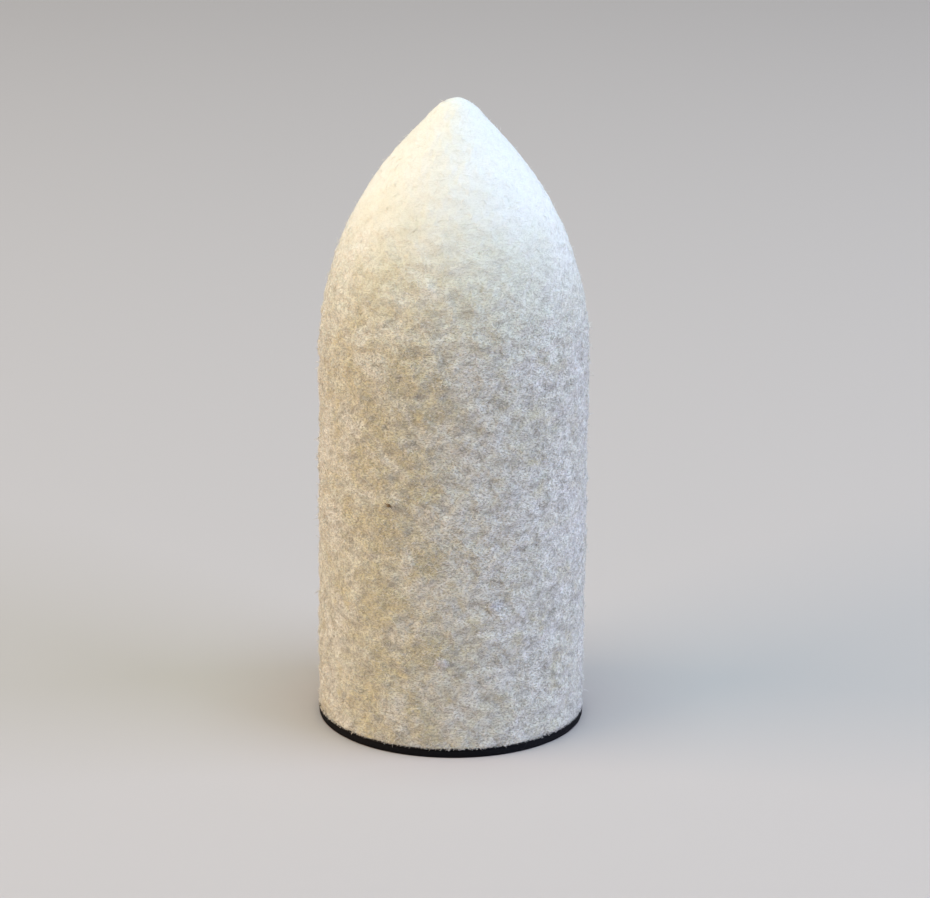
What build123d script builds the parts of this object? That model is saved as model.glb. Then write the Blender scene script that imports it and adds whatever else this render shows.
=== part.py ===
"""Bullet-shaped felt polishing bob with a screw-on base, in millimetres.

The bob stands on its base with +Z up, its axis on Z and its origin at the middle of
the base's lower face. From the outside in it is a bullet turned from one block of hard
wool felt, a thin black fibre disc cemented over the felt's base, and a knurled brass
insert, potted in the felt with epoxy, that takes the threaded end of a machine spindle.
"""

import os
from math import cos, radians, sin, tan

from build123d import *

# Driving dimensions of the whole bob
overall_height = 60.0
bob_diameter = 25.4

# The nose is a tangent arc, a short straight cone and a small round tip
ogive_radius = 30.0
cone_angle = 43.0
tip_radius = 2.5

# Black base: a vulcanised fibre disc, and the film of cement between it and the felt
disc_thickness = 0.7
cement_thickness = 0.1
disc_edge_radius = 0.12

# Knurled insert, threaded 1/4-20 UNC, modelled as a plain bore of the tapping size
thread_bore_diameter = 5.1
thread_depth = 16.0
drill_point_angle = 118.0  # of the cone that the drill leaves at the bore's end
mouth_chamfer = 0.7
boss_diameter = 9.5  # passes through the disc and centres it
boss_recess = 0.05  # the boss stays this far inside the disc's lower face
boss_clearance = 0.05  # radial, between the boss and the disc's hole
flange_diameter = 16.0
flange_thickness = 1.2
barrel_diameter = 9.0
barrel_length = 18.0
neck_diameter = 7.8  # plain groove between the two knurled bands
neck_length = 3.0
knurl_count = 24
knurl_depth = 0.35
knurl_width = 0.6

# Epoxy between the insert's barrel and the wall of the felt's bore
epoxy_thickness = 0.75
epoxy_cap = 0.8  # above the barrel's end

# Places worked out from the driving dimensions
bob_radius = bob_diameter / 2
base_thickness = disc_thickness + cement_thickness
barrel_start = base_thickness + flange_thickness
barrel_end = barrel_start + barrel_length
barrel_middle = barrel_start + barrel_length / 2
drill_point_depth = thread_bore_diameter / 2 / tan(radians(drill_point_angle / 2))
pocket_diameter = barrel_diameter + 2 * epoxy_thickness
pocket_end = barrel_end + epoxy_cap
cone_start_radius = bob_radius - ogive_radius * (1 - cos(radians(cone_angle)))
cone_end_radius = tip_radius * cos(radians(cone_angle))
cone_length = (cone_start_radius - cone_end_radius) / sin(radians(cone_angle))
nose_height = (
    ogive_radius * sin(radians(cone_angle))
    + cone_length * cos(radians(cone_angle))
    + tip_radius * (1 - sin(radians(cone_angle)))
)
shoulder_height = overall_height - nose_height

os.makedirs("parts", exist_ok=True)


def save(part, name):
    """Labels a finished piece and writes it as its own node."""
    part.label = name
    export_step(part, f"parts/{name}.step")


# Felt bullet: a straight side, the ogive, the cone and the tip, turned about the axis,
# with a stepped blind pocket in its base for the insert's flange and barrel.
with BuildPart() as felt_bullet:
    with BuildSketch(Plane.XZ):
        with BuildLine():
            base = Line((0, base_thickness), (bob_radius, base_thickness))
            side = Line(base @ 1, (bob_radius, shoulder_height))
            ogive = JernArc(side @ 1, side % 1, ogive_radius, cone_angle)
            cone = Line(ogive @ 1, ogive @ 1 + (ogive % 1) * cone_length)
            tip = JernArc(cone @ 1, cone % 1, tip_radius, 90 - cone_angle)
            Line(tip @ 1, base @ 0)
        make_face()
    revolve(axis=Axis.Z)
    with Locations(felt_bullet.faces().sort_by(Axis.Z)[0].center_location):
        CounterBoreHole(
            radius=pocket_diameter / 2,
            counter_bore_radius=flange_diameter / 2,
            counter_bore_depth=flange_thickness,
            depth=pocket_end - base_thickness,
        )
save(felt_bullet.part, "felt_bullet")

# Barrel blank: the outside of the insert's barrel, two knurled bands with a plain neck
# between them. The insert is built on it, and the epoxy is moulded round it.
with BuildPart() as barrel_blank:
    with BuildSketch(Plane.XY.offset(barrel_start)):
        Circle(barrel_diameter / 2)
        with PolarLocations(barrel_diameter / 2, knurl_count):
            Rectangle(2 * knurl_depth, knurl_width, rotation=45, mode=Mode.SUBTRACT)
    extrude(amount=barrel_length)
    with BuildSketch(Plane.XY.offset(barrel_middle - neck_length / 2)):
        Circle(barrel_diameter)
        Circle(neck_diameter / 2, mode=Mode.SUBTRACT)
    extrude(amount=neck_length, mode=Mode.SUBTRACT)

# Threaded insert: boss, flange and barrel in one piece of brass, with a blind bore that
# opens at the bob's base and ends in the drill's cone.
with BuildPart() as threaded_insert:
    with BuildSketch(Plane.XY.offset(boss_recess)):
        Circle(boss_diameter / 2)
    extrude(amount=base_thickness - boss_recess)
    with BuildSketch(Plane.XY.offset(base_thickness)):
        Circle(flange_diameter / 2)
    extrude(amount=flange_thickness)
    add(barrel_blank.part)
    with Locations(threaded_insert.faces().sort_by(Axis.Z)[0].center_location):
        Hole(radius=thread_bore_diameter / 2, depth=thread_depth - boss_recess)
    with Locations((0, 0, thread_depth)):
        Cone(
            bottom_radius=thread_bore_diameter / 2,
            top_radius=0,
            height=drill_point_depth,
            align=(Align.CENTER, Align.CENTER, Align.MIN),
            mode=Mode.SUBTRACT,
        )
    mouth = (
        threaded_insert.faces()
        .sort_by(Axis.Z)[0]
        .edges()
        .filter_by(GeomType.CIRCLE)
        .sort_by(SortBy.RADIUS)[0]
    )
    chamfer(mouth, mouth_chamfer)
save(threaded_insert.part, "threaded_insert")

# Insert epoxy: a cup that fills the pocket round the barrel and over its end.
with BuildPart() as insert_epoxy:
    with BuildSketch(Plane.XY.offset(barrel_start)):
        Circle(pocket_diameter / 2)
    extrude(amount=pocket_end - barrel_start)
    add(barrel_blank.part, mode=Mode.SUBTRACT)
save(insert_epoxy.part, "insert_epoxy")

# Cement film: a thin ring of black contact cement that holds the disc to the felt and
# to the lower face of the insert's flange.
with BuildPart() as cement_film:
    with BuildSketch(Plane.XY.offset(disc_thickness)):
        Circle(bob_radius)
        Circle(boss_diameter / 2, mode=Mode.SUBTRACT)
    extrude(amount=cement_thickness)
save(cement_film.part, "cement_film")

# Backing disc: the black base that the bob stands on and the spindle's shoulder meets.
with BuildPart() as backing_disc:
    with BuildSketch():
        Circle(bob_radius)
        Circle(boss_diameter / 2 + boss_clearance, mode=Mode.SUBTRACT)
    extrude(amount=disc_thickness)
    outer_rim = (
        backing_disc.faces()
        .sort_by(Axis.Z)[0]
        .edges()
        .filter_by(GeomType.CIRCLE)
        .sort_by(SortBy.RADIUS)[-1]
    )
    fillet(outer_rim, disc_edge_radius)
save(backing_disc.part, "backing_disc")
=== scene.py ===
"""The looks of a bullet-shaped felt polishing bob that stands on its screw-on base.

Everything is in metres, in the CAD model's frame, with the bob's axis on Z and its base on
the floor. The sections follow the bob as it is put together: the insert, the epoxy, the
felt, the wool on its surface, the cement and the backing disc. The studio comes last.
"""

from math import cos, pi, radians, sin

import bpy
import numpy as np
from mathutils import Matrix, Vector


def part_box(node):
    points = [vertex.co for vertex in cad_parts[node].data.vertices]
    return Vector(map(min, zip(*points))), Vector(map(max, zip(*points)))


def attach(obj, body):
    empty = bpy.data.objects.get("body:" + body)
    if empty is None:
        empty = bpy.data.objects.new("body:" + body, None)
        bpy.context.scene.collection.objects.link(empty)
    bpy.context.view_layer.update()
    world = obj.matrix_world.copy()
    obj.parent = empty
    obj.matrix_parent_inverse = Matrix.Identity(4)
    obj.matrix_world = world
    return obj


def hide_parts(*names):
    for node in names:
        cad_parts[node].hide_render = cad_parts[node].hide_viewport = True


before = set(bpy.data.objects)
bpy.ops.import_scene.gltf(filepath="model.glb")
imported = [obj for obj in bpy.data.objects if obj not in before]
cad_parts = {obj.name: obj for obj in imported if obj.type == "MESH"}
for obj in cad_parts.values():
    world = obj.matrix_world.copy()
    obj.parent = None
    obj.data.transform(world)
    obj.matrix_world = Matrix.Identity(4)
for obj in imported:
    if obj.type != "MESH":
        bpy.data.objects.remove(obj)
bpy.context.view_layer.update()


# ---------------------------------------------------------------------------------------
# Threaded insert: turned from brass bar, knurled on the barrel and tapped 1/4-20 UNC from
# below. Its flange lies against the felt's base, and its boss shows in the disc's hole.
# ---------------------------------------------------------------------------------------

MM = 0.001


def closed_faces(rows, columns):
    """Four-sided faces between neighbouring rings of a grid, whose columns run round Z."""
    ring = np.arange(rows - 1)[:, None] * columns
    here = np.arange(columns)[None, :]
    beside = (here + 1) % columns
    above = ring + columns
    return np.stack([ring + here, ring + beside, above + beside, above + here], -1).reshape(-1, 4)


def turned(name, radius, height, first=None, last=None):
    """A shell turned about Z. Row i, column j of the grids is the point at that radius and
    height, at the angle j / columns of a turn. The heights first and last are the points on
    the axis that close its ends. Without them the last row joins the first, as on a ring."""
    radius, height = np.broadcast_arrays(radius, height)
    rows, columns = radius.shape
    turn = np.arange(columns) * 2 * pi / columns
    grid = np.stack([radius * np.cos(turn), radius * np.sin(turn), height], -1).reshape(-1, 3)
    faces = closed_faces(rows, columns).tolist()
    here = np.arange(columns)
    beside = (here + 1) % columns
    end = (rows - 1) * columns
    if first is None:
        seam = np.stack([end + here, end + beside, beside, here], -1)
        faces += seam.tolist()
    else:
        grid = np.concatenate([grid, [(0, 0, first), (0, 0, last)]])
        poles = np.full(columns, rows * columns)
        faces += np.stack([poles, beside, here], -1).tolist()
        faces += np.stack([poles + 1, end + here, end + beside], -1).tolist()
    return shown_piece(name, grid, faces)


def shown_piece(name, points, faces):
    """A smooth-shaded mesh object at the origin."""
    mesh = bpy.data.meshes.new(name)
    mesh.from_pydata(points, [], faces)
    mesh.shade_smooth()
    piece = bpy.data.objects.new(name, mesh)
    bpy.context.scene.collection.objects.link(piece)
    return piece


def along_profile(corners, spacing):
    """Rows of radius and height along straight runs between corners, at most spacing apart."""
    corners = np.array(corners)
    rows = [corners[:1]]
    for a, b in zip(corners[:-1], corners[1:]):
        gaps = max(1, int(np.ceil(np.linalg.norm(b - a) / spacing)))
        rows.append(np.linspace(a, b, gaps + 1)[1:])
    return np.concatenate(rows)


def put(tree, kind, sockets, **settings):
    """Adds a shader node. Each socket is given a value, or a link from another's output."""
    node = tree.nodes.new("ShaderNode" + kind)
    for name, value in settings.items():
        setattr(node, name, value)
    for name, value in sockets.items():
        if isinstance(value, bpy.types.NodeSocket):
            tree.links.new(value, node.inputs[name])
        else:
            node.inputs[name].default_value = value
    return node


def in_millimetres(tree):
    """The place on the piece in millimetres, so that a scale is in cycles per millimetre."""
    place = put(tree, "TexCoord", {}).outputs["Object"]
    return put(tree, "VectorMath", {0: place, "Scale": 1 / MM}, operation="SCALE").outputs[0]


def cloudy(tree, place, scale, detail=2.0, roughness=0.5, distortion=0.0):
    """Noise from 0 to 1, with scale cycles per millimetre."""
    sockets = {"Vector": place, "Scale": scale, "Detail": detail, "Roughness": roughness}
    sockets["Distortion"] = distortion
    return put(tree, "TexNoise", sockets).outputs["Fac"]


def spread(tree, value, low, high, at_low=0.0, at_high=1.0):
    """Carries values between low and high smoothly onto at_low to at_high."""
    sockets = {"Value": value, "From Min": low, "From Max": high}
    sockets.update({"To Min": at_low, "To Max": at_high})
    return put(tree, "MapRange", sockets, interpolation_type="SMOOTHSTEP").outputs["Result"]


def tint(tree, share, first, second, way="MIX"):
    """Mixes a second colour over a first by a share from 0 to 1."""
    sockets = {0: share, 6: first, 7: second}
    return put(tree, "Mix", sockets, data_type="RGBA", blend_type=way).outputs[2]


def new_finish(name, constants):
    """A material with its Principled shader, whose constant sockets are set directly."""
    material = bpy.data.materials.new(name)
    material.use_nodes = True
    tree = material.node_tree
    shader = tree.nodes["Principled BSDF"]
    for socket, value in constants.items():
        shader.inputs[socket].default_value = value
    return material, tree, shader


def new_group(name, inputs, outputs):
    """A node group with named inputs, as (name, kind, value), and outputs, as (name, kind)."""
    group = bpy.data.node_groups.new(name, "ShaderNodeTree")
    for title, kind, value in inputs:
        socket = group.interface.new_socket(title, in_out="INPUT", socket_type=kind)
        if value is not None:
            socket.default_value = value
    for title, kind in outputs:
        group.interface.new_socket(title, in_out="OUTPUT", socket_type=kind)
    return group, group.nodes.new("NodeGroupInput").outputs, group.nodes.new("NodeGroupOutput").inputs


def place_group(tree, group, sockets):
    """Puts a node group into a material, with its own values."""
    return put(tree, "Group", sockets, node_tree=group).outputs


# Scuffs are fine straight scratches in two directions, where a slow noise lets them show.
scuffs, given, gives = new_group(
    "scuffs",
    [("Place", "NodeSocketVector", None), ("Amount", "NodeSocketFloat", 0.5)],
    [("Marks", "NodeSocketFloat")],
)
marks = []
for turn, stretch in ((0.6, (0.5, 9.0, 9.0)), (-0.9, (9.0, 0.4, 9.0))):
    combed = put(
        scuffs,
        "Mapping",
        {"Vector": given["Place"], "Rotation": (0, 0, turn), "Scale": stretch},
    ).outputs[0]
    marks.append(spread(scuffs, cloudy(scuffs, combed, 1.0, 2.0), 0.62, 0.7))
both = put(scuffs, "Math", {0: marks[0], 1: marks[1]}, operation="MAXIMUM").outputs[0]
patches = spread(scuffs, cloudy(scuffs, given["Place"], 0.25, 2.0), 0.4, 0.65)
seen = put(scuffs, "Math", {0: both, 1: patches}, operation="MULTIPLY").outputs[0]
seen = put(scuffs, "Math", {0: seen, 1: given["Amount"]}, operation="MULTIPLY").outputs[0]
scuffs.links.new(seen, gives["Marks"])

insert_low, insert_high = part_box("threaded_insert")
thread_pitch = 1.27 * MM
thread_depth = 0.625 * MM
tapping_radius = 2.55 * MM
thread_end = 16 * MM
drill_point = 17.53 * MM
mouth_radius = 3.25 * MM
boss_radius = 4.75 * MM
barrel_radius = 4.5 * MM
neck_radius = 3.9 * MM
knurl_count = 24
knurl_depth = 0.35 * MM
flange_radius = insert_high.x
flange_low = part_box("felt_bullet")[0].z
flange_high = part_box("insert_epoxy")[0].z
barrel_low = flange_high
barrel_high = insert_high.z
neck_low, neck_high = 9.5 * MM, 12.5 * MM
broken_edge = 0.15 * MM

bore_rows = along_profile([(tapping_radius, thread_end), (tapping_radius, insert_low.z)], 0.1 * MM)
shoulder_rows = along_profile(
    [
        (mouth_radius, insert_low.z),
        (boss_radius - broken_edge, insert_low.z),
        (boss_radius, insert_low.z + broken_edge),
        (boss_radius, flange_low),
        (flange_radius - broken_edge, flange_low),
        (flange_radius, flange_low + broken_edge),
        (flange_radius, flange_high - broken_edge),
        (flange_radius - broken_edge, flange_high),
        (barrel_radius, flange_high),
    ],
    0.6 * MM,
)
barrel_rows = along_profile(
    [
        (barrel_radius, barrel_low),
        (barrel_radius, neck_low),
        (neck_radius, neck_low),
        (neck_radius, neck_high),
        (barrel_radius, neck_high),
        (barrel_radius, barrel_high - broken_edge),
        (barrel_radius - broken_edge, barrel_high),
    ],
    0.8 * MM,
)
columns = 192
turn = np.arange(columns) / columns
# The thread's groove deepens from its crest to its root, a turn of it for each pitch.
crest = 2 * np.abs((bore_rows[:, 1:] / thread_pitch - turn) % 1 - 0.5)
groove = np.clip((0.75 - crest) / (0.75 - 0.125), 0, 1)
runout = np.clip((thread_end - bore_rows[:, 1:]) / thread_pitch, 0, 1)
countersink = mouth_radius - (bore_rows[:, 1:] - insert_low.z)
bore = np.maximum(tapping_radius + thread_depth * groove * runout, countersink)
# Each knurl is a V cut along the barrel. The neck is narrower, so it stays plain.
cut = np.clip(1 - np.abs((turn * knurl_count) % 1 - 0.5) / 0.3, 0, 1)
barrel_radii = barrel_rows[:, :1]
knurled = np.where(barrel_radii > neck_radius, barrel_radii - knurl_depth * cut, barrel_radii)
plain = np.repeat(shoulder_rows[:, :1], columns, 1)
# The bore ends where the shoulder starts, and the shoulder where the barrel does.
insert = turned(
    "brass_insert",
    np.concatenate([bore[:-1], plain[:-1], knurled]),
    np.concatenate([bore_rows[:-1], shoulder_rows[:-1], barrel_rows])[:, 1:],
    drill_point,
    barrel_high,
)
insert.data.set_sharp_from_angle(angle=radians(40))

brass, tree, shader = new_finish("turned_brass", {"Metallic": 1.0})
place = in_millimetres(tree)
split = put(tree, "SeparateXYZ", {0: place}).outputs
flat = put(tree, "CombineXYZ", {0: split[0], 1: split[1]}).outputs[0]
from_axis = put(tree, "VectorMath", {0: flat}, operation="LENGTH").outputs["Value"]
rings = put(tree, "CombineXYZ", {0: from_axis, 2: split[2]}).outputs[0]
tool_marks = cloudy(tree, rings, 14.0, 3.0, 0.6)
tarnish = spread(tree, cloudy(tree, place, 0.5, 4.0, 0.6), 0.42, 0.7)
scratches = place_group(tree, scuffs, {"Place": place, "Amount": 0.7})["Marks"]
colour = tint(tree, tarnish, (0.72, 0.5, 0.2, 1), (0.42, 0.27, 0.11, 1))
colour = tint(tree, scratches, colour, (0.85, 0.66, 0.34, 1))
tree.links.new(colour, shader.inputs["Base Color"])
tree.links.new(spread(tree, tool_marks, 0.3, 0.7, 0.24, 0.46), shader.inputs["Roughness"])
bump = put(tree, "Bump", {"Strength": 0.35, "Distance": 0.02 * MM, "Height": tool_marks})
tree.links.new(bump.outputs[0], shader.inputs["Normal"])
insert.data.materials.append(brass)
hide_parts("threaded_insert")
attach(insert, "root")


# ---------------------------------------------------------------------------------------
# Insert epoxy: a two-part casting resin, poured round the knurled barrel in the felt's
# bore. It sets amber and slightly cloudy, with air bubbles, and nothing of it shows.
# ---------------------------------------------------------------------------------------

resin, tree, shader = new_finish("amber_epoxy", {"Coat Weight": 0.3, "IOR": 1.55})
place = in_millimetres(tree)
bubbles = put(tree, "TexVoronoi", {"Vector": place, "Scale": 1.4}).outputs["Distance"]
bubbles = spread(tree, bubbles, 0.12, 0.2, 1.0, 0.0)
cloud = spread(tree, cloudy(tree, place, 0.3, 3.0), 0.35, 0.7)
colour = tint(tree, cloud, (0.5, 0.33, 0.12, 1), (0.62, 0.47, 0.24, 1))
colour = tint(tree, bubbles, colour, (0.74, 0.63, 0.42, 1))
tree.links.new(colour, shader.inputs["Base Color"])
tree.links.new(spread(tree, bubbles, 0.0, 1.0, 0.22, 0.5), shader.inputs["Roughness"])
bump = put(tree, "Bump", {"Strength": 0.5, "Distance": 0.1 * MM, "Height": bubbles})
tree.links.new(bump.outputs[0], shader.inputs["Normal"])
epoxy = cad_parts["insert_epoxy"]
epoxy.data.materials.clear()
epoxy.data.materials.append(resin)


# ---------------------------------------------------------------------------------------
# Felt bullet: hard pressed wool felt, turned from a block on a lathe and sanded. Its skin
# has soft lumps and pits about a millimetre across, and warmer patches in the wool.
# ---------------------------------------------------------------------------------------

felt_low, felt_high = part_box("felt_bullet")
bob_radius = felt_high.x
ogive_radius = 30 * MM
tip_radius = 2.5 * MM
cone_lean = radians(43)
rim_round = 0.3 * MM
nap_allowance = 0.08
sanding_start = 36 * MM
sanding_run = 14 * MM
cone_start = bob_radius - ogive_radius * (1 - cos(cone_lean))
cone_run = (cone_start - tip_radius * cos(cone_lean)) / sin(cone_lean)
nose_height = (
    ogive_radius * sin(cone_lean) + cone_run * cos(cone_lean) + tip_radius * (1 - sin(cone_lean))
)
side_run = felt_high.z - nose_height - felt_low.z - rim_round

# The profile is one line from the rim of the base to the tip. Its lean from upright holds
# on the side and the cone, and turns steadily round the rim, the ogive and the tip.
runs = [rim_round * pi / 2, side_run, ogive_radius * cone_lean, cone_run]
runs.append(tip_radius * (pi / 2 - cone_lean))
stops = np.concatenate([[0], np.cumsum(runs)])
travel_table = np.linspace(0, stops[-1], 8001)
lean_table = np.interp(travel_table, stops, [-pi / 2, 0, 0, cone_lean, cone_lean, pi / 2])
middle_lean = (lean_table[:-1] + lean_table[1:]) / 2
steps = np.diff(travel_table)
radius_table = np.append(0, np.cumsum(-np.sin(middle_lean) * steps)) + bob_radius - rim_round
height_table = np.append(0, np.cumsum(np.cos(middle_lean) * steps)) + felt_low.z


def tumbled(points, wavelength, seed, grain=1.0, waves=60):
    """A smooth random field with a spread of one: the sum of many flat waves of about one
    length, each in its own direction and phase. A grain over one leans the waves towards Z,
    which draws the field out round the bob."""
    draw = np.random.default_rng(seed)
    direction = draw.normal(size=(waves, 3)) * (1, 1, grain)
    direction /= np.linalg.norm(direction, axis=1)[:, None]
    number = 2 * pi / (wavelength * draw.uniform(0.7, 1.4, waves))
    phase = draw.uniform(0, 2 * pi, waves)
    field = np.zeros(points.shape[:-1])
    for wave, start in zip(direction * number[:, None], phase):
        field += np.cos(points @ wave + start)
    return field * np.sqrt(2 / waves)


def sanded(height):
    """How finely the wool is sanded at a height: 0 on the side, rising to 1 near the tip."""
    return np.clip((height - sanding_start) / sanding_run, 0, 1)


def wool_relief(points):
    """How far the wool stands off the turned shape: long soft waves, then lumps, then small
    tufts that are rounded above and pitted between. The lathe draws them out round the bob,
    and sanding takes them down towards the tip."""
    waves = 0.025 * tumbled(points, 7 * MM, 11)
    lumps = 0.056 * tumbled(points, 2.1 * MM, 12, 1.6)
    tufts = tumbled(points, 1.05 * MM, 13, 2.2)
    curls = tumbled(points, 0.62 * MM, 14, 2.0)
    small = 0.062 * np.tanh(tufts) + 0.034 * np.tanh(curls)
    worn = 1 - 0.6 * sanded(points[..., 2])
    return ((waves + lumps + small) * worn - nap_allowance) * MM


def on_felt(turn, travel, lift=0.0):
    """Points on the felt's skin, at a turn round it and a travel up its profile, raised by
    lift along the outward normal."""
    radius = np.interp(travel, travel_table, radius_table)
    lean = np.interp(travel, travel_table, lean_table)
    height = np.interp(travel, travel_table, height_table)
    round_axis = np.stack([np.cos(turn), np.sin(turn)], -1)
    smooth = np.concatenate([radius[..., None] * round_axis, height[..., None]], -1)
    outward = np.concatenate([np.cos(lean)[..., None] * round_axis, np.sin(lean)[..., None]], -1)
    fade = np.clip(travel / runs[0], 0, 1)
    return smooth + outward * (wool_relief(smooth) * fade + lift)[..., None]


columns = 384
pocket_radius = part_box("insert_epoxy")[1].x
pocket_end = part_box("insert_epoxy")[1].z
pocket_rows = along_profile(
    [
        (pocket_radius, pocket_end),
        (pocket_radius, flange_high),
        (flange_radius, flange_high),
        (flange_radius, felt_low.z),
        (bob_radius - rim_round, felt_low.z),
    ],
    4 * MM,
)
travel = np.concatenate(
    [np.linspace(stops[0], stops[1], 6)[1:], np.linspace(stops[1], stops[-1], 226)[1:-1]]
)
turn = np.arange(columns) * 2 * pi / columns
skin = on_felt(turn[None, :], np.repeat(travel[:, None], columns, 1))
tip = on_felt(np.zeros(1), stops[-1:])[0, 2]
felt = turned(
    "felt_bullet_skin",
    np.concatenate([np.repeat(pocket_rows[:, :1], columns, 1), np.hypot(skin[..., 0], skin[..., 1])]),
    np.concatenate([np.repeat(pocket_rows[:, 1:], columns, 1), skin[..., 2]]),
    pocket_end,
    tip,
)

# Wool shades are shared by the felt and its fibres. Cream wool has warmer patches, olive
# patches that gather on the front left, grey mottling and painted shade in the gaps between
# its strands. All of these fade towards the tip, where sanding leaves the wool smooth, and a
# painted highlight whitens the tip where the top light falls on it.
wool_shades, given, gives = new_group(
    "wool_shades",
    [("Place", "NodeSocketVector", None), ("Gap Shade Share", "NodeSocketFloat", 0.5)],
    [
        ("Color", "NodeSocketColor"),
        ("Gaps", "NodeSocketFloat"),
        ("Strands", "NodeSocketFloat"),
        ("Tip Highlight", "NodeSocketFloat"),
    ],
)
split = put(wool_shades, "SeparateXYZ", {0: given["Place"]}).outputs
height = split[2]
rough = spread(wool_shades, height, 36.0, 52.0, 1.0, 0.15)
drawn_out = {"Vector": given["Place"], "Scale": (0.8, 0.8, 1.6)}
combed = put(wool_shades, "Mapping", drawn_out).outputs[0]
patch = spread(wool_shades, cloudy(wool_shades, given["Place"], 0.16, 3.0, 0.55), 0.38, 0.66)
colour = tint(wool_shades, patch, (0.76, 0.76, 0.68, 1), (0.71, 0.71, 0.59, 1))
plan = put(wool_shades, "CombineXYZ", {0: split[0], 1: split[1]}).outputs[0]
# Olive patches: cloudy patches, more of them round a spot on the front left, fading towards the tip.
off_olive_centre = put(wool_shades, "VectorMath", {0: plan, 1: (-6.5, -11.0, 0)}, operation="DISTANCE")
front_left_olive = spread(wool_shades, off_olive_centre.outputs["Value"], 3.0, 9.0, 0.13, 0.0)
cloud = cloudy(wool_shades, given["Place"], 0.34, 3.0, 0.6, 0.4)
olive_patches = put(wool_shades, "Math", {0: cloud, 1: front_left_olive}, operation="ADD").outputs[0]
olive_patches = spread(wool_shades, olive_patches, 0.5, 0.74)
olive_patches = put(wool_shades, "Math", {0: olive_patches, 1: rough}, operation="MULTIPLY").outputs[0]
colour = tint(wool_shades, olive_patches, colour, (0.62, 0.58, 0.4, 1))
mottle = spread(wool_shades, cloudy(wool_shades, combed, 0.8, 4.0, 0.6), 0.45, 0.72)
mottle = put(wool_shades, "Math", {0: mottle, 1: rough}, operation="MULTIPLY").outputs[0]
colour = tint(wool_shades, mottle, colour, (0.45, 0.44, 0.37, 1))
# Painted highlight: the colour whitens towards the tip, standing for the strong light from above on
# the nose.
painted_tip_highlight = spread(wool_shades, height, 45.0, 56.0, 0.0, 0.5)
colour = tint(wool_shades, painted_tip_highlight, colour, (0.88, 0.87, 0.82, 1))
strands = put(
    wool_shades,
    "TexNoise",
    {"Vector": combed, "Scale": 1.7, "Detail": 5.0, "Roughness": 0.62, "Distortion": 1.3},
    noise_type="RIDGED_MULTIFRACTAL",
    normalize=True,
).outputs["Fac"]
gaps = spread(wool_shades, cloudy(wool_shades, combed, 6.0, 2.0, 0.6, 0.4), 0.54, 0.36)
gaps = put(wool_shades, "Math", {0: gaps, 1: rough}, operation="MULTIPLY").outputs[0]
strands = put(wool_shades, "Math", {0: strands, 1: rough}, operation="MULTIPLY").outputs[0]
# Painted shade: the gaps between the strands are darkened in colour, where shade between the fibres
# falls.
painted_gap_shade = put(wool_shades, "Math", {0: gaps, 1: given["Gap Shade Share"]}, operation="MULTIPLY").outputs[0]
colour = tint(wool_shades, painted_gap_shade, colour, (0.31, 0.28, 0.22, 1))
wool_shades.links.new(colour, gives["Color"])
wool_shades.links.new(gaps, gives["Gaps"])
wool_shades.links.new(strands, gives["Strands"])
# The tip highlight output is the share of painted highlight that pales the fibres towards the tip.
tip_highlight = put(wool_shades, "Math", {0: 1.0, 1: rough}, operation="SUBTRACT").outputs[0]
wool_shades.links.new(tip_highlight, gives["Tip Highlight"])

wool, tree, shader = new_finish(
    "hard_wool_felt",
    {
        "Roughness": 0.95,
        "Sheen Weight": 0.35,
        "Sheen Roughness": 0.45,
        "Specular IOR Level": 0.15,
        "Subsurface Weight": 0.5,
        "Subsurface Radius": (0.4, 0.35, 0.3),
        "Subsurface Scale": MM,
    },
)
place = in_millimetres(tree)
shades = place_group(tree, wool_shades, {"Place": place, "Gap Shade Share": 0.7})
tree.links.new(shades["Color"], shader.inputs["Base Color"])
fuzz = put(
    tree, "Bump", {"Strength": 0.8, "Distance": 0.12 * MM, "Height": shades["Strands"]}
).outputs[0]
pits = put(
    tree,
    "Bump",
    {"Strength": 0.7, "Distance": 0.08 * MM, "Height": shades["Gaps"], "Normal": fuzz},
    invert=True,
)
tree.links.new(pits.outputs[0], shader.inputs["Normal"])
felt.data.materials.append(wool)
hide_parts("felt_bullet")
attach(felt, "root")


# ---------------------------------------------------------------------------------------
# Nap: wool fibres at the felt's surface, teased up by turning and sanding. Most lie curled
# on the skin with their ends matted into it, and a few stand clear of it.
# ---------------------------------------------------------------------------------------


def fibre_bundle(name, paths, half_width):
    """Fibres as closed slender spindles. A path's first and last points are the tips, and
    each point between carries three corners, half_width off it and square to the path."""
    count, points = paths.shape[:2]
    along = np.gradient(paths, axis=1)
    along /= np.linalg.norm(along, axis=-1, keepdims=True)
    side = np.cross(along, (0.31, 0.17, 0.93))
    side /= np.linalg.norm(side, axis=-1, keepdims=True)
    lift = np.cross(along, side)
    corner = np.arange(3) * 2 * pi / 3
    spoke = np.cos(corner)[:, None] * side[:, :, None] + np.sin(corner)[:, None] * lift[:, :, None]
    rings = paths[:, 1:-1, None] + half_width[:, None, None, None] * spoke[:, 1:-1]
    rings = rings.reshape(count, -1, 3)
    corners = np.concatenate([paths[:, :1], rings, paths[:, -1:]], 1)
    end = 3 * (points - 2) + 1
    one = [(0, 1 + (j + 1) % 3, 1 + j) for j in range(3)]
    one += [(end, end - 3 + j, end - 3 + (j + 1) % 3) for j in range(3)]
    for start in range(1, end - 3, 3):
        for j in range(3):
            here, beside = start + j, start + (j + 1) % 3
            one += [(here, beside, beside + 3), (here, beside + 3, here + 3)]
    faces = np.array(one) + (np.arange(count) * corners.shape[1])[:, None, None]
    return shown_piece(name, corners.reshape(-1, 3), faces.reshape(-1, 3).tolist())


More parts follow.
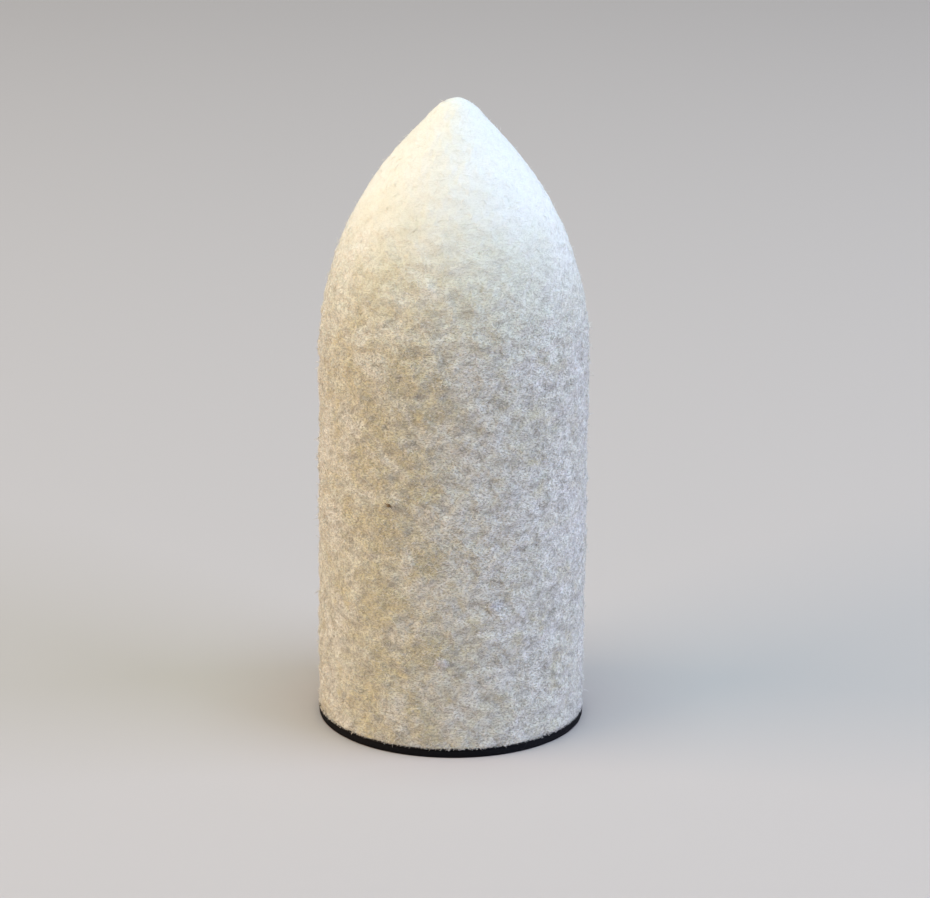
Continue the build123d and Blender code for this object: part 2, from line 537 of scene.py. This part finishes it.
def fibre_paths(start, heading, bend, length, lifts):
    """Paths that start at a turn and a travel on the felt and run over it along a heading,
    turning steadily by bend, while they rise and fall by lifts."""
    count, points = lifts.shape
    share = np.linspace(0, 1, points)
    angle = heading[:, None] + bend[:, None] * (share - 0.5)
    pace = (length / (points - 1))[:, None]
    across = np.cumsum(np.cos(angle) * pace, 1) - np.cos(angle[:, :1]) * pace
    upward = np.cumsum(np.sin(angle) * pace, 1) - np.sin(angle[:, :1]) * pace
    turn, travel = start
    least_radius = 1.2 * MM
    radius = np.maximum(np.interp(travel, travel_table, radius_table), least_radius)
    turns = turn[:, None] + across / radius[:, None]
    travels = np.clip(travel[:, None] + upward, 0, stops[-1])
    return on_felt(turns, travels, lifts)


def scattered(draw, count, low, high):
    """Turns and travels spread evenly over the felt's skin between two travels."""
    inside = (travel_table >= low) & (travel_table <= high)
    skin_area = np.cumsum(np.where(inside, radius_table, 0))
    travel = np.interp(draw.uniform(0, skin_area[-1], count), skin_area, travel_table)
    return draw.uniform(0, 2 * pi, count), travel


fibre, tree, shader = new_finish(
    "wool_fibre",
    {"Roughness": 0.5, "Sheen Weight": 0.3, "Sheen Roughness": 0.4, "Specular IOR Level": 0.4},
)
place = in_millimetres(tree)
shades = place_group(tree, wool_shades, {"Place": place, "Gap Shade Share": 0.1})
strand_tone = spread(tree, cloudy(tree, place, 5.0, 2.0, 0.6), 0.32, 0.58)
# A fibre's pale share is its own random tone, raised towards the tip by painted highlight.
lit = {0: strand_tone, 1: shades["Tip Highlight"]}
tone_and_tip_highlight = put(tree, "Math", lit, operation="MAXIMUM").outputs[0]
colour = tint(tree, 0.28, shades["Color"], (0.2, 0.18, 0.13, 1))
colour = tint(tree, tone_and_tip_highlight, colour, (0.87, 0.84, 0.77, 1))
tree.links.new(colour, shader.inputs["Base Color"])

# Each band runs between two shares of the profile, and its fibres stand off by so many mm.
bands = {
    "nap_skirt": (0.0, 0.28, 0.045),
    "nap_body": (0.28, 0.56, 0.04),
    "nap_nose": (0.56, 1.0, 0.035),
}
count = 30000
lathe_slant = 0.15
for seed, (name, (low, high, stand)) in enumerate(bands.items(), 21):
    draw = np.random.default_rng(seed)
    start = scattered(draw, count, low * stops[-1], high * stops[-1])
    heading = draw.normal(lathe_slant, 0.6, count) + pi * draw.integers(0, 2, count)
    bend = draw.normal(0, 0.6, count)
    length = draw.gamma(6.0, 0.1, count) * MM
    worn = 1 - 0.85 * sanded(np.interp(start[1], travel_table, height_table))
    crown = np.abs(draw.normal(stand, 0.8 * stand, count)) * worn
    sunk = draw.uniform(0.01, 0.05, count)
    lifts = np.stack([-sunk, crown, -sunk], 1) * MM
    paths = fibre_paths(start, heading, bend, length, lifts)
    half_width = draw.uniform(0.013, 0.024, count) * (0.3 + 0.7 * worn) * MM
    nap = fibre_bundle(name, paths, half_width)
    nap.data.materials.append(fibre)
    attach(nap, "root")


# ---------------------------------------------------------------------------------------
# Stray fibres and rim fringe: longer wool that the sanding missed. Strays are rooted in the
# skin and stand clear at the other end. The fringe frays from the felt's cut lower edge and
# hangs a little way over the disc.
# ---------------------------------------------------------------------------------------

draw = np.random.default_rng(31)
count = 3500
start = scattered(draw, count, 0, stops[-1])
heading = draw.uniform(0, 2 * pi, count)
bend = draw.normal(0, 1.6, count)
length = draw.gamma(5.0, 0.16, count) * MM
worn = 1 - 0.3 * sanded(np.interp(start[1], travel_table, height_table))
rise = (np.abs(draw.normal(0, 0.24, count)) + 0.05) * worn
share = np.linspace(0, 1, 5)
rooted = 0.04 * (share == 0)
lifts = (rise[:, None] * share**1.3 - rooted) * MM
paths = fibre_paths(start, heading, bend, length, lifts)
strays = fibre_bundle("stray_fibres", paths, draw.uniform(0.014, 0.024, count) * worn * MM)
strays.data.materials.append(fibre)
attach(strays, "root")

draw = np.random.default_rng(32)
count = 1600
root = draw.uniform(0, 2 * pi, count)[:, None]
slant = draw.normal(0, 1.0, count)[:, None]
length = draw.gamma(4.0, 0.027, count)[:, None] * MM
flare = np.abs(draw.normal(0, 0.05, count))[:, None] * MM
root_height = felt_low.z + draw.uniform(0.06, 0.3, count)[:, None] * MM
root_depth = 0.22 * MM
swing = np.sin(share * pi / 2)
off_axis = bob_radius - root_depth + (0.24 * MM + flare) * swing
rim_turn = root + np.sin(slant) * share * length / bob_radius
hanging = root_height - np.cos(slant) * share**1.5 * length
paths = np.stack([off_axis * np.cos(rim_turn), off_axis * np.sin(rim_turn), hanging], -1)
fringe = fibre_bundle("rim_fringe", paths, draw.uniform(0.013, 0.024, count) * MM)
fringe.data.materials.append(fibre)
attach(fringe, "root")


# ---------------------------------------------------------------------------------------
# Wool pills: small tufts pulled out of the skin in use, each a loose ball of curled fibres,
# whose pale colour is painted highlight. The plainest one is low on the front.
# ---------------------------------------------------------------------------------------


def gathered(draw, places, each, spread_round, spread_up):
    """Turns and travels of fibres that gather round places on the side, each place given in
    degrees round the bob and millimetres above the felt's base."""
    place = np.repeat(np.array(places, float), each, 0)
    turn = np.radians(place[:, 0]) + draw.normal(0, spread_round, len(place)) / bob_radius
    travel = runs[0] - rim_round + place[:, 1] * MM + draw.normal(0, spread_up, len(place))
    return turn, travel


pill_places = [(-94, 8.6), (-72, 14), (20, 14), (75, 33), (130, 10), (170, 26)]
fibres_each = 150
draw = np.random.default_rng(33)
start = gathered(draw, pill_places, fibres_each, 0.26 * MM, 0.2 * MM)
count = len(start[0])
bulge = draw.uniform(0.0, 0.2, count)
lifts = np.stack([bulge, bulge + 0.07, bulge + 0.09, bulge + 0.02], 1) * MM
heading = draw.uniform(0, 2 * pi, count)
curl = draw.normal(0, 2.5, count)
length = np.full(count, 0.42 * MM)
paths = fibre_paths(start, heading, curl, length, lifts)
pills = fibre_bundle("wool_pills", paths, draw.uniform(0.018, 0.028, count) * MM)

# Painted highlight: the pills' wool is paler than the nap, standing for the light the loose tufts
# catch.
pale, tree, shader = new_finish(
    "lit_tuft_wool", {"Roughness": 0.6, "Sheen Weight": 0.4, "Specular IOR Level": 0.3}
)
combing = cloudy(tree, in_millimetres(tree), 4.0, 2.0)
colour = tint(tree, combing, (0.78, 0.77, 0.73, 1), (0.94, 0.93, 0.9, 1))
tree.links.new(colour, shader.inputs["Base Color"])
pills.data.materials.append(pale)
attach(pills, "root")


# ---------------------------------------------------------------------------------------
# Burr flecks: bits of dry seed head that stayed in the fleece when it was carded, and were
# pressed into the felt. They are short, brown and straight, a few to each place.
# ---------------------------------------------------------------------------------------

fleck_places = [(-118, 23.6), (15, 27), (60, 9), (105, 38), (160, 18)]
bits_each = 14
draw = np.random.default_rng(34)
start = gathered(draw, fleck_places, bits_each, 0.28 * MM, 0.1 * MM)
count = len(start[0])
near_end = draw.uniform(0.0, 0.04, count)
far_end = draw.uniform(0.02, 0.06, count)
lifts = np.stack([near_end, near_end, far_end, far_end], 1) * MM
heading = draw.normal(-0.4, 0.4, count)
bend = draw.normal(0, 0.5, count)
length = draw.uniform(0.25, 0.5, count) * MM
paths = fibre_paths(start, heading, bend, length, lifts)
flecks = fibre_bundle("burr_flecks", paths, draw.uniform(0.018, 0.035, count) * MM)

burr, tree, shader = new_finish("dry_burr", {"Roughness": 0.8, "Specular IOR Level": 0.3})
grain = cloudy(tree, in_millimetres(tree), 6.0, 2.0)
colour = tint(tree, grain, (0.13, 0.08, 0.04, 1), (0.34, 0.24, 0.13, 1))
tree.links.new(colour, shader.inputs["Base Color"])
flecks.data.materials.append(burr)
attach(flecks, "root")


# ---------------------------------------------------------------------------------------
# Cement film: black contact cement, brushed on the felt and the disc and pressed together.
# It fills between them, and a little of it squeezes out unevenly at the edge.
# ---------------------------------------------------------------------------------------

disc_low, disc_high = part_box("backing_disc")
columns = 256
turn = np.arange(columns) * 2 * pi / columns
edge = np.stack([np.cos(turn), np.sin(turn), np.zeros(columns)], -1) * bob_radius
squeezed = (0.02 + 0.05 * np.tanh(np.maximum(tumbled(edge, 6 * MM, 41), 0))) * MM
film_section = np.array([(0, 0), (1, 0), (1, 0.5), (1, 1), (0, 1)])
bulge = np.array([0, 0.2, 1.0, 0.2, 0])
film_radius = boss_radius + film_section[:, :1] * (bob_radius - rim_round - boss_radius)
film_radius = film_radius + bulge[:, None] * (rim_round + squeezed)
film_height = disc_high.z + film_section[:, 1:] * (felt_low.z - disc_high.z)
film = turned("cement_squeeze", film_radius, film_height)

cement, tree, shader = new_finish("black_cement", {"Specular IOR Level": 0.12})
place = in_millimetres(tree)
brushed = cloudy(tree, place, 0.9, 3.0, 0.6)
tree.links.new(
    tint(tree, brushed, (0.006, 0.006, 0.008, 1), (0.014, 0.013, 0.013, 1)),
    shader.inputs["Base Color"],
)
tree.links.new(spread(tree, brushed, 0.3, 0.7, 0.55, 0.8), shader.inputs["Roughness"])
bump = put(tree, "Bump", {"Strength": 0.4, "Distance": 0.05 * MM, "Height": brushed})
tree.links.new(bump.outputs[0], shader.inputs["Normal"])
film.data.materials.append(cement)
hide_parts("cement_film")
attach(film, "root")


# ---------------------------------------------------------------------------------------
# Backing disc: die-cut from a sheet of black vulcanised fibre, with a hole for the
# insert's boss. The cutter leaves a rounded lower edge and small nicks in the rim.
# ---------------------------------------------------------------------------------------

columns = 320
turn = np.arange(columns) * 2 * pi / columns
edge = np.stack([np.cos(turn), np.sin(turn), np.zeros(columns)], -1) * bob_radius
nicks = np.maximum(tumbled(edge, 1.6 * MM, 51) - 1.3, 0) * 0.05 * MM
wander = tumbled(edge, 14 * MM, 52) * 0.015 * MM
hole_radius = 4.8 * MM
soft = 0.12 * MM
sharp = 0.05 * MM
arc = np.linspace(-pi / 2, 0, 6)
lower_edge = np.stack(
    [bob_radius - soft + soft * np.cos(arc), disc_low.z + soft + soft * np.sin(arc)], -1
)
upper = [(bob_radius, disc_high.z - sharp), (bob_radius - sharp, disc_high.z)]
face = along_profile([(hole_radius + sharp, disc_low.z), (bob_radius - soft, disc_low.z)], 0.5 * MM)
top_face = along_profile([(bob_radius - sharp, disc_high.z), (hole_radius, disc_high.z)], 1 * MM)
hole = [(hole_radius, disc_low.z + sharp)]
section = np.concatenate([face, lower_edge[1:], upper, top_face[1:], hole])
at_rim = np.clip((section[:, :1] - (bob_radius - 0.3 * MM)) / (0.3 * MM), 0, 1)
disc = turned("backing_disc_fibre", section[:, :1] + at_rim * (wander - nicks), section[:, 1:])

black, tree, shader = new_finish("black_fibre_sheet", {"Specular IOR Level": 0.1})
place = in_millimetres(tree)
flecks = spread(tree, cloudy(tree, place, 3.0, 3.0, 0.7), 0.6, 0.72)
marks = place_group(tree, scuffs, {"Place": place, "Amount": 0.6})["Marks"]
colour = tint(tree, flecks, (0.002, 0.002, 0.003, 1), (0.007, 0.007, 0.009, 1))
colour = tint(tree, marks, colour, (0.03, 0.03, 0.033, 1))
tree.links.new(colour, shader.inputs["Base Color"])
tree.links.new(spread(tree, flecks, 0.0, 1.0, 0.75, 0.92), shader.inputs["Roughness"])
bump = put(tree, "Bump", {"Strength": 0.3, "Distance": 0.03 * MM, "Height": flecks})
tree.links.new(bump.outputs[0], shader.inputs["Normal"])
disc.data.materials.append(black)
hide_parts("backing_disc")
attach(disc, "root")


# ---------------------------------------------------------------------------------------
# Studio: a pale floor under a large soft light, with a warm one on the left and a cool one
# on the right. The camera looks down a little on the bob from the front.
# ---------------------------------------------------------------------------------------

floor_mesh = bpy.data.meshes.new("studio_floor")
floor_reach = 3.0
floor_mesh.from_pydata(
    [
        (-floor_reach, -floor_reach, 0),
        (floor_reach, -floor_reach, 0),
        (floor_reach, floor_reach, 0),
        (-floor_reach, floor_reach, 0),
    ],
    [],
    [(0, 1, 2, 3)],
)
floor = bpy.data.objects.new("studio_floor", floor_mesh)
bpy.context.scene.collection.objects.link(floor)
paper, tree, shader = new_finish("pale_paper", {"Roughness": 0.9, "Specular IOR Level": 0.2})
shader.inputs["Base Color"].default_value = (0.56, 0.5, 0.475, 1)
floor.data.materials.append(paper)


def soft_light(name, place, target, size, power, colour):
    """A square area light at a place, facing a target, both in millimetres."""
    light = bpy.data.lights.new(name, "AREA")
    light.size = size * MM
    light.energy = power
    light.color = colour
    lamp = bpy.data.objects.new(name, light)
    facing = (Vector(target) - Vector(place)).to_track_quat("-Z", "Y")
    lamp.matrix_world = Matrix.Translation(Vector(place) * MM) @ facing.to_matrix().to_4x4()
    bpy.context.scene.collection.objects.link(lamp)


soft_light("top_light", (0, -90, 950), (0, 0, 30), 600, 5.2, (0.68, 0.98, 1.0))
soft_light("warm_light", (-800, -250, 230), (0, 0, 28), 800, 9.5, (1.0, 0.72, 0.5))
soft_light("cool_light", (800, -220, 270), (0, 0, 28), 800, 10.2, (0.6, 0.66, 1.0))

world = bpy.data.worlds.new("studio_air")
world.use_nodes = True
background = world.node_tree.nodes["Background"]
background.inputs["Color"].default_value = (1, 1, 1, 1)
background.inputs["Strength"].default_value = 0.28
bpy.context.scene.world = world
bpy.context.scene.view_settings.view_transform = "Standard"

camera_aim = Vector((0, 0, felt_low.z + 1.1 * 2 * bob_radius))
camera_distance = 0.31
camera_pitch = radians(16.51)
camera_roll = radians(0.538)
camera_data = bpy.data.cameras.new("front_camera")
camera_data.sensor_width = 36
camera_data.lens = 127.1
camera_data.shift_x = 0.0126
camera_data.shift_y = -0.027
camera_data.clip_start = 0.02
camera_data.clip_end = 20
camera = bpy.data.objects.new("front_camera", camera_data)
away = Vector((0, -cos(camera_pitch), sin(camera_pitch)))
facing = (-away).to_track_quat("-Z", "Y").to_matrix().to_4x4()
stand = Matrix.Translation(camera_aim + away * camera_distance)
camera.matrix_world = stand @ facing @ Matrix.Rotation(camera_roll, 4, "Z")
bpy.context.scene.collection.objects.link(camera)
bpy.context.scene.camera = camera
